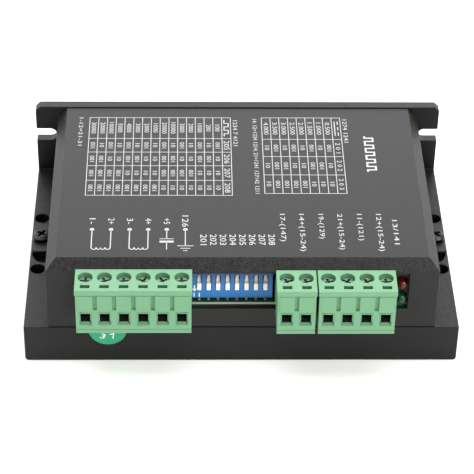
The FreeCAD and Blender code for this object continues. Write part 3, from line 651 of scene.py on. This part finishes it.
# ---------------------------------------------------------------- indicator lights
LENS_LENGTH = 6.7  # mm from the dome's tip to the back of the moulding
LEAD_OFFSET = 0.635  # mm from the light's axis to each lead
LEAD_SIZE = (0.5 * MM, 4.0 * MM, 0.5 * MM)
DOME_STEPS = 10
cup = [(0, 3.2), (0.35, 3.2), (0.62, 2.75), (0.75, 2.75), (0.75, 4.6), (0, 4.6)]
for name, slot in (("alarm_led", "red_lens"), ("power_led", "green_lens")):
    low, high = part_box(name)
    radius = (high.x - low.x) / 2 / MM
    tip = Vector(((low.x + high.x) / 2, low.y, high.z - radius * MM))
    angles = [math.pi / 2 * i / DOME_STEPS for i in range(DOME_STEPS + 1)]
    outline = [(radius * math.sin(a), radius * (1 - math.cos(a))) for a in angles]
    outline += [(radius, LENS_LENGTH - 0.1), (radius - 0.1, LENS_LENGTH), (0, LENS_LENGTH)]
    spun(f"{name}_lens", [(outline, tip)], FINISH[slot], "chassis", [name], 40)
    spun(f"{name}_cup", [(cup, tip)], FINISH["tinned_brass"], "chassis")
    leads = bmesh.new()
    for side in (-1, 1):
        foot = Vector((tip.x + side * LEAD_OFFSET * MM, tip.y, tip.z))
        bmesh.ops.create_cube(
            leads, size=1,
            matrix=Matrix.Translation(foot + Vector((0, LENS_LENGTH * MM, 0)))
            @ Matrix.Diagonal((*LEAD_SIZE, 1)),
        )
    bmesh.ops.bevel(leads, geom=leads.edges[:], offset=0.1 * MM, segments=2, affect="EDGES")
    mesh = mesh_from(leads, f"{name}_leads")
    piece(f"{name}_leads", mesh, [SOLDER], "chassis")

# ---------------------------------------------------------------- board details
board_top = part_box("circuit_board")[1].z
levers = [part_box(f"dip_lever_{i + 1}") for i in range(8)]
pin_y = SWITCH_FRONT - 0.05 * MM
pad = [(0, 0.05), (0.36, 0.05), (0.4, 0.03), (0.4, -0.02), (0, -0.02)]
joint = [(0, 0.2), (0.12, 0.19), (0.18, 0.14), (0.24, 0.08), (0.3, 0.055), (0, 0.05)]
feet = [Vector(((low.x + high.x) / 2, pin_y, board_top)) for low, high in levers]
for name, profile in (("switch_pads", pad), ("switch_joints", joint)):
    spun(
        name, [(profile, foot) for foot in feet],
        GOLD, "chassis", steps=24, axis="Z",
    )

# the cream track that each lever slides along, narrower towards the top:
# half widths and heights in mm, then the depths and insets of its three rings
half_outline = [(0.62, -0.05), (0.62, 1.4), (0.56, 2.6), (0.47, 3.8), (0.36, 4.85)]
TRACK_RINGS = ((2.25 * MM, 0.0), (0.7 * MM, 0.0), (0.6 * MM, 0.06))
bm = bmesh.new()
for low, high in levers:
    x = (low.x + high.x) / 2
    rings = []
    for depth, inset in TRACK_RINGS:
        outline = [(inset - half, z) for half, z in half_outline]
        outline += [(half - inset, z) for half, z in half_outline[::-1]]
        rings.append([
            bm.verts.new((x + u * MM, SWITCH_FRONT + depth, low.z + z * MM))
            for u, z in outline
        ])
    bm.faces.new(rings[-1])
    bm.faces.new(rings[0][::-1])
    for first, second in zip(rings, rings[1:]):
        for i in range(len(first)):
            j = (i + 1) % len(first)
            bm.faces.new((first[i], first[j], second[j], second[i]))
bmesh.ops.recalc_face_normals(bm, faces=bm.faces)
piece("switch_tracks", mesh_from(bm, "switch_tracks"), [TRACK], "chassis")

# each pole's raised panel, and the brow and two jambs round its wire entry:
# X from the pole, Y from the housing's front and Z from its top, all in mm
PANEL = ((-2.0, 0.1, -7.2), (2.0, 0.4, -1.95))
BROW = ((-1.5, 0.05, -7.9), (1.5, 0.6, -7.55))
JAMB = ((-0.17, 0.22, -10.55), (0.17, 0.7, -7.65))
JAMB_OFFSET = 1.47  # mm from the pole to the middle of a jamb


def shifted(block, x, low, high):
    """A block's two corners beside a pole at X, in metres."""
    return [
        (x + u * MM, low.y + v * MM, high.z + w * MM)
        for u, v, w in block
    ]


for name, places in POLES.items():
    low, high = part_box(f"plug_{name}_housing")
    body = BODY[f"plug_{name}_housing"]
    panels = [shifted(PANEL, x, low, high) for x in places]
    brows = [shifted(BROW, x, low, high) for x in places]
    brows += [
        shifted(JAMB, x + side * JAMB_OFFSET * MM, low, high)
        for x in places for side in (-1, 1)
    ]
    for part, blocks, radius in (("panels", panels, 0.06), ("brows", brows, 0.08)):
        relief(
            f"plug_{name}_{part}", blocks, radius,
            FINISH["green_moulding"], body,
        )


# ---------------------------------------------------------------- printing
FIGURE_HEIGHT = 0.69  # height of a figure in the built-in font at size 1
THIN = -0.003  # takes weight off the built-in font
INK = 0.03  # mm of ink above the face
CROSSING = 0.028  # mm of ink where a mark crosses another, so that no faces coincide
BELOW = -0.01  # marks start this far inside the face, in mm


class Print:
    """Thin marks on one flat face, in mm along two directions, gathered in one piece."""

    def __init__(self, origin, right, up):
        self.origin, self.right, self.up = Vector(origin), Vector(right), Vector(up)
        self.out = self.right.cross(self.up)
        self.bm = bmesh.new()

    def point(self, u, v, height):
        """A place on the face, or above it, in metres."""
        return self.origin + (self.right * u + self.up * v + self.out * height) * MM

    def slab(self, outline, height=INK):
        """A flat mark with this outline, in (u, v) points."""
        low = [self.bm.verts.new(self.point(u, v, BELOW)) for u, v in outline]
        top = [self.bm.verts.new(self.point(u, v, height)) for u, v in outline]
        self.bm.faces.new(top)
        self.bm.faces.new(low[::-1])
        for i in range(len(outline)):
            j = (i + 1) % len(outline)
            self.bm.faces.new((low[i], low[j], top[j], top[i]))

    def stroke(self, points, width, height=INK):
        """A line of even width through points, with mitred turns."""
        points = [Vector(p) for p in points]
        left, right = [], []
        for i, here in enumerate(points):
            before = (here - points[max(i - 1, 0)]).normalized()
            after = (points[min(i + 1, len(points) - 1)] - here).normalized()
            heading = (before + after).normalized()
            normal = Vector((-heading.y, heading.x))
            flat = after if i == 0 else before
            reach = width / 2 / max(0.5, abs(normal.dot(Vector((-flat.y, flat.x)))))
            left.append(here + normal * reach)
            right.append(here - normal * reach)
        self.slab([tuple(p) for p in right + left[::-1]], height)

    def disc(self, u, v, radius, steps=20):
        """A round dot."""
        angles = [2 * math.pi * i / steps for i in range(steps)]
        self.slab([(u + radius * math.cos(a), v + radius * math.sin(a)) for a in angles])

    def text(self, string, start, along, length, height, bold=0.0):
        """Characters whose baseline starts at a point and fills a length."""
        curve = bpy.data.curves.new("characters", "FONT")
        curve.body = string
        curve.resolution_u = 2
        curve.extrude = 1
        curve.offset = bold
        holder = bpy.data.objects.new("characters", curve)
        mesh = bpy.data.meshes.new_from_object(holder)
        bpy.data.objects.remove(holder)
        bpy.data.curves.remove(curve)
        places = [v.co.copy() for v in mesh.vertices]
        first = min(p.x for p in places)
        wide = max(p.x for p in places) - first
        along = Vector(along).normalized()
        upward = Vector((-along.y, along.x))
        verts = []
        for p in places:
            flat = Vector(start) + along * ((p.x - first) / wide * length)
            flat += upward * (p.y / FIGURE_HEIGHT * height)
            height_here = INK if p.z > 0 else BELOW
            verts.append(self.bm.verts.new(self.point(flat.x, flat.y, height_here)))
        for polygon in mesh.polygons:
            corners = [verts[i] for i in polygon.vertices]
            if not self.bm.faces.get(corners):
                self.bm.faces.new(corners)
        bpy.data.meshes.remove(mesh)

    def down(self, string, u, start, end, height, bold=0.0):
        """Text centred on a column, read towards the viewer."""
        self.text(string, (u - height / 2, start), (0, -1), start - end, height, bold)

    def finish(self, name, material, slot, body="chassis"):
        """The marks gathered so far, as one piece."""
        bmesh.ops.remove_doubles(self.bm, verts=self.bm.verts, dist=0.0002 * MM)
        bmesh.ops.recalc_face_normals(self.bm, faces=self.bm.faces)
        return piece(name, mesh_from(self.bm, name), [material], body)


def on_cover():
    """An empty print on the cover's top, measured from above the part's origin."""
    return Print((0, 0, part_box("top_cover")[1].z), (1, 0, 0), (0, 1, 0))


def grid(sheet, columns, rows, width=0.19):
    """The ruled lines of a table."""
    for u in columns:
        sheet.stroke([(u, rows[0] + width / 2), (u, rows[-1] - width / 2)], width)
    for v in rows:
        sheet.stroke([(columns[0], v), (columns[-1], v)], width, CROSSING)


def cell_text(sheet, u, top, bottom, string, step, height, bold=0.0):
    """A cell's figures, centred, with the given pitch per figure."""
    half = step * len(string) / 2
    centre = (top + bottom) / 2
    sheet.down(string, u, centre + half, centre - half, height, bold)


# step table: sixteen columns of step counts and switch codes, read from the right
LINE = 0.28  # width of a drawn line in a table or on the switch block
pitch = (42.85 - 2.34) / 16
columns = [-42.85 + pitch * i for i in range(17)]
rows = [29.76, 19.37, 12.75, 6.24, -0.64, -7.53]
COUNTS = ["100", "200", "1000", "2000", "3000", "10000", "20000", "1000",
          "2000", "3000", "4000", "5000", "10000", "20000", "30000"]
table = on_cover()
grid(table, columns, rows)
for i, count in enumerate(COUNTS):
    u = columns[14 - i] + pitch / 2
    cell_text(table, u, rows[0], rows[1], count, 1.1, 1.35, THIN)
    for bit in range(4):
        code = "10" if (i + 1) >> bit & 1 == 0 else "001"
        cell_text(table, u, rows[bit + 1], rows[bit + 2], code, 0.95, 1.3, THIN)
u = columns[15] + pitch / 2
table.stroke(
    [(u - 0.6, 28.6), (u - 0.6, 26.9), (u + 0.6, 26.9), (u + 0.6, 25.2), (u - 0.6, 25.2),
     (u - 0.6, 23.5), (u + 0.6, 23.5), (u + 0.6, 21.8), (u - 0.6, 21.8), (u - 0.6, 20.5)],
    LINE,
)
for bit in range(4):
    cell_text(table, u, rows[bit + 1], rows[bit + 2], f"20{bit + 5}", 1.45, 1.55, THIN)
table.down("1234 7 4121", -1.0, 28.4, 15.8, 1.25, THIN)
table.down("1-12=21-31", -45.3, 29.7, 15.9, 1.15, THIN)
table.finish("step_table", WHITE_INK, "black_sheet")

# current table: eight levels and three switch codes each
pitch = (29.36 - 6.64) / 9
columns = [6.64 + pitch * i for i in range(10)]
rows = [29.76, 19.05, 10.68, 1.99, -6.63]
table = on_cover()
grid(table, columns, rows)
for i in range(8):
    u = columns[7 - i] + pitch / 2
    cell_text(table, u, rows[0], rows[1], f"{0.5 * (i + 1):.3f}", 1.2, 1.35, THIN)
    for bit in range(3):
        code = "10" if (i + 1) >> bit & 1 == 0 else "001"
        cell_text(table, u, rows[bit + 1], rows[bit + 2], code, 1.05, 1.3, THIN)
u = columns[8] + pitch / 2
table.stroke([(u - 0.45, 27.9), (u - 0.45, 20.9)], LINE)
for start, end in ((27.9, 26.3), (25.2, 23.6), (22.5, 20.9)):
    table.stroke([(u + 0.45, start), (u + 0.45, end)], LINE)
for bit in range(3):
    cell_text(table, u, rows[bit + 1], rows[bit + 2], f"2 0 {bit + 1}", 1.0, 1.3, THIN)
table.down("1274 1241", 30.65, 28.9, 17.6, 1.25, THIN)
table.down("14: 12=1234 1214; 21=1241 127142 1211", 4.65, 29.1, -6.7, 1.2, THIN)
table.finish("current_table", WHITE_INK, "black_sheet")

# a plain pulse train marks what the module makes
LOW_U, HIGH_U, PULSE_PITCH = 35.9, 38.2, 3.42
badge = on_cover()
path = [(LOW_U, 20.6)]
for i in range(5):
    start = 20.6 - PULSE_PITCH * i
    rise, fall = start - 0.9, start - 2.5
    path += [(LOW_U, rise), (HIGH_U, rise), (HIGH_U, fall), (LOW_U, fall)]
badge.stroke(path + [(LOW_U, 3.5)], 0.55)
badge.finish("pulse_mark", WHITE_INK, "black_sheet")

# motor and supply wiring: two coils, a capacitor and an earth symbol
DOT_V = -22.8  # the dots that end each pole's label
FOOT_V = -31.4  # the lowest line of the coils and the capacitor
WIRE = 0.24  # width of a wire
COIL_WIRE = 0.27


def coil(sheet, left, right):
    """Two leads and three scallops between a pair of poles."""
    turn, scallops, rise = 0.8, 3, 0.85
    pitch = (right - left - 2 * turn) / scallops

    def scallop(centre, begin, end):
        """Eighths of one scallop, from cusp to cusp."""
        angles = [math.pi * k / 8 for k in range(begin, end + 1)]
        return [(centre - pitch / 2 * math.cos(a), FOOT_V + rise * (1 - math.sin(a)))
                for a in angles]

    def corner(start, side, first, second):
        """A lead's bend into the lowest line."""
        return [(start + side * turn * (1 - first(a)), FOOT_V + turn * (1 - second(a)))
                for a in [math.pi / 2 * i / 4 for i in range(1, 5)]]

    sheet.stroke(
        [(left, DOT_V), (left, FOOT_V + turn)]
        + corner(left, 1, math.cos, math.sin)
        + scallop(left + turn, 5, 8), COIL_WIRE,
    )
    for i in range(1, scallops):
        sheet.stroke(scallop(left + turn + pitch * i, 0, 8), COIL_WIRE, CROSSING)
    sheet.stroke(
        scallop(right - turn, 0, 4)
        + corner(right, -1, math.sin, math.cos)
        + [(right, DOT_V)], COIL_WIRE,
    )


marks = [-40.4, -35.3, -30.3, -25.3, -20.3, -15.3]
wiring = on_cover()
for u, label in zip(marks, ("1-", "2+", "3-", "4+", "+5", "126")):
    top, bottom = (-16.65, -21.7) if len(label) > 2 else (-17.9, -20.4)
    wiring.down(label, u, top, bottom, 1.7, THIN)
    wiring.disc(u, DOT_V, 0.62)
for left, right in ((marks[0], marks[1]), (marks[2], marks[3])):
    coil(wiring, left, right)
u = marks[4]  # capacitor
wiring.stroke([(u, DOT_V), (u, -26.85)], WIRE)
wiring.stroke([(u - 1.9, -26.85), (u + 1.9, -26.85)], WIRE)
wiring.stroke([(u - 1.9, -28.05), (u + 1.9, -28.05)], 0.8)
wiring.stroke([(u, -28.05), (u, FOOT_V)], WIRE)
u = marks[5]  # earth
wiring.stroke([(u, DOT_V), (u, -29.85)], WIRE)
for v, reach in ((-29.85, 2.15), (-30.9, 1.35), (-31.9, 0.6)):
    wiring.stroke([(u - reach, v), (u + reach, v)], WIRE)
wiring.finish("wiring_marks", WHITE_INK, "black_sheet")

# numbers beside the switches, the signal poles and the lights
labels = on_cover()
for i in range(8):
    labels.down(f"20{i + 1}", -10.4 + 2.61 * i, -24.95, -29.5, 1.75, THIN)
for u, end, label in (
    (11.1, -27.9, "17-(147)"), (16.3, -32.1, "14+(15-24)"),
    (21.6, -26.7, "19-(129)"), (26.75, -31.4, "21+(15-24)"),
    (32.1, -27.5, "11-(121)"), (37.3, -32.1, "12+(15-24)"),
):
    labels.down(label, u, -15.9, end, 1.35, THIN)
labels.down("13/141", 41.5, -18.6, -29.15, 1.35, THIN)
labels.finish("pole_numbers", WHITE_INK, "black_sheet")

# the switch block's closed side and direction
face = Print((0, SWITCH_FRONT, 0), (1, 0, 0), (0, 0, 1))
face.text("11", (-13.1, 20.25), (1, 0), 1.7, 1.4, THIN)
face.stroke([(-12.8, 24.3), (-12.8, 22.6)], LINE)
face.stroke([(-13.3, 23.1), (-12.8, 22.4), (-12.3, 23.1)], 0.26)
face.finish("switch_marks", PALE_INK, "blue_moulding")

# inspection sticker: film and two plain figures
low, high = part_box("round_sticker")
centre = Vector(((low.x + high.x) / 2, high.y, (low.z + high.z) / 2))
radius = (high.x - low.x) / 2 / MM
thick = (high.y - low.y) / MM
edge = 0.04
film = [(0, 0), (radius, 0), (radius, edge - thick), (radius - edge, -thick), (0, -thick)]
spun(
    "sticker_film", [(film, centre)],
    FINISH["sticker_green"], "chassis", ["round_sticker"], 72,
)
mark = Print((centre.x, low.y, centre.z), (1, 0, 0), (0, 0, 1))
for figure, place, tilt in (("3", (-2.2, -2.75), -0.35), ("7", (1.15, -3.1), 0.35)):
    mark.text(figure, place, (math.cos(tilt), math.sin(tilt)), 1.3, 1.75, 0.0)
mark.finish("sticker_marks", PALE_INK, "sticker_green")

# ---------------------------------------------------------------- floor, lights, camera
bm = bmesh.new()
bmesh.ops.create_grid(bm, x_segments=8, y_segments=8, size=6.0)
floor_mesh = mesh_from(bm, "floor")
floor_mesh.materials.append(floor_paper())
floor = bpy.data.objects.new("floor", floor_mesh)
scene.collection.objects.link(floor)
floor.location.z = -0.2 * MM  # just clear of the underside

world = bpy.data.worlds.new("studio")
scene.world = world
world.use_nodes = True
sky = world.node_tree.nodes["Background"]
sky.inputs["Color"].default_value = (1, 1, 1, 1)
sky.inputs["Strength"].default_value = 0.35


def softbox(name, place, target, wide, tall, power, tint=(1.0, 0.99, 0.96)):
    """A soft rectangular studio light: metres, and power in watts."""
    light = bpy.data.lights.new(name, "AREA")
    light.shape = "RECTANGLE"
    light.size, light.size_y = wide, tall
    light.energy = power
    light.color = tint
    obj = bpy.data.objects.new(name, light)
    obj.location = place
    aim = Vector(target) - Vector(place)
    obj.rotation_mode = "QUATERNION"
    obj.rotation_quaternion = aim.to_track_quat("-Z", "Y")
    obj.visible_camera = False
    scene.collection.objects.link(obj)


softbox("overhead", (0.0, 0.1, 1.2), (0, 0, 0), 1.2, 1.0, 14)
softbox("backdrop", (0.0, 1.3, 0.62), (0, 0, 0.2), 2.4, 1.2, 36, (0.97, 0.955, 1.0))
softbox("front_right", (0.9, -0.8, 0.85), (0, 0, 0), 0.6, 0.6, 17)
softbox("front_left", (-0.9, -0.8, 0.85), (0, 0, 0), 0.6, 0.6, 3.6)
softbox("front_middle", (0.2, -1.2, 0.65), (0, 0, 0.02), 0.5, 0.5, 3)
softbox("left_side", (-1.3, 0.1, 0.7), (0, 0, 0), 0.8, 0.8, 7)
softbox("low_right", (0.95, -0.75, 0.2), (0, 0, 0.02), 0.3, 0.3, 1)

scene.view_settings.view_transform = "Standard"
scene.view_settings.look = "None"

# the camera looks down and a touch from the left, at a point near the part's middle
ELEVATION, AZIMUTH, ROLL = 0.66734, -0.03142, 0.020044  # radians
DISTANCE = 582.62 * MM
AIM = Vector((-0.617, 0, 13.185)) * MM
back = Vector((
    math.sin(AZIMUTH) * math.cos(ELEVATION),
    -math.cos(AZIMUTH) * math.cos(ELEVATION),
    math.sin(ELEVATION),
))
level = Vector((math.cos(AZIMUTH), math.sin(AZIMUTH), 0))
rise = back.cross(level)
side = level * math.cos(ROLL) + rise * math.sin(ROLL)
top = rise * math.cos(ROLL) - level * math.sin(ROLL)
camera_data = bpy.data.cameras.new("camera")
camera_data.sensor_width = 36
camera_data.lens = 155.47
camera_data.clip_start = 0.01
camera_data.dof.use_dof = False
camera = bpy.data.objects.new("camera", camera_data)
turn = Matrix((side, top, back)).transposed().to_4x4()
camera.matrix_world = Matrix.Translation(AIM + back * DISTANCE) @ turn
scene.collection.objects.link(camera)
scene.camera = camera
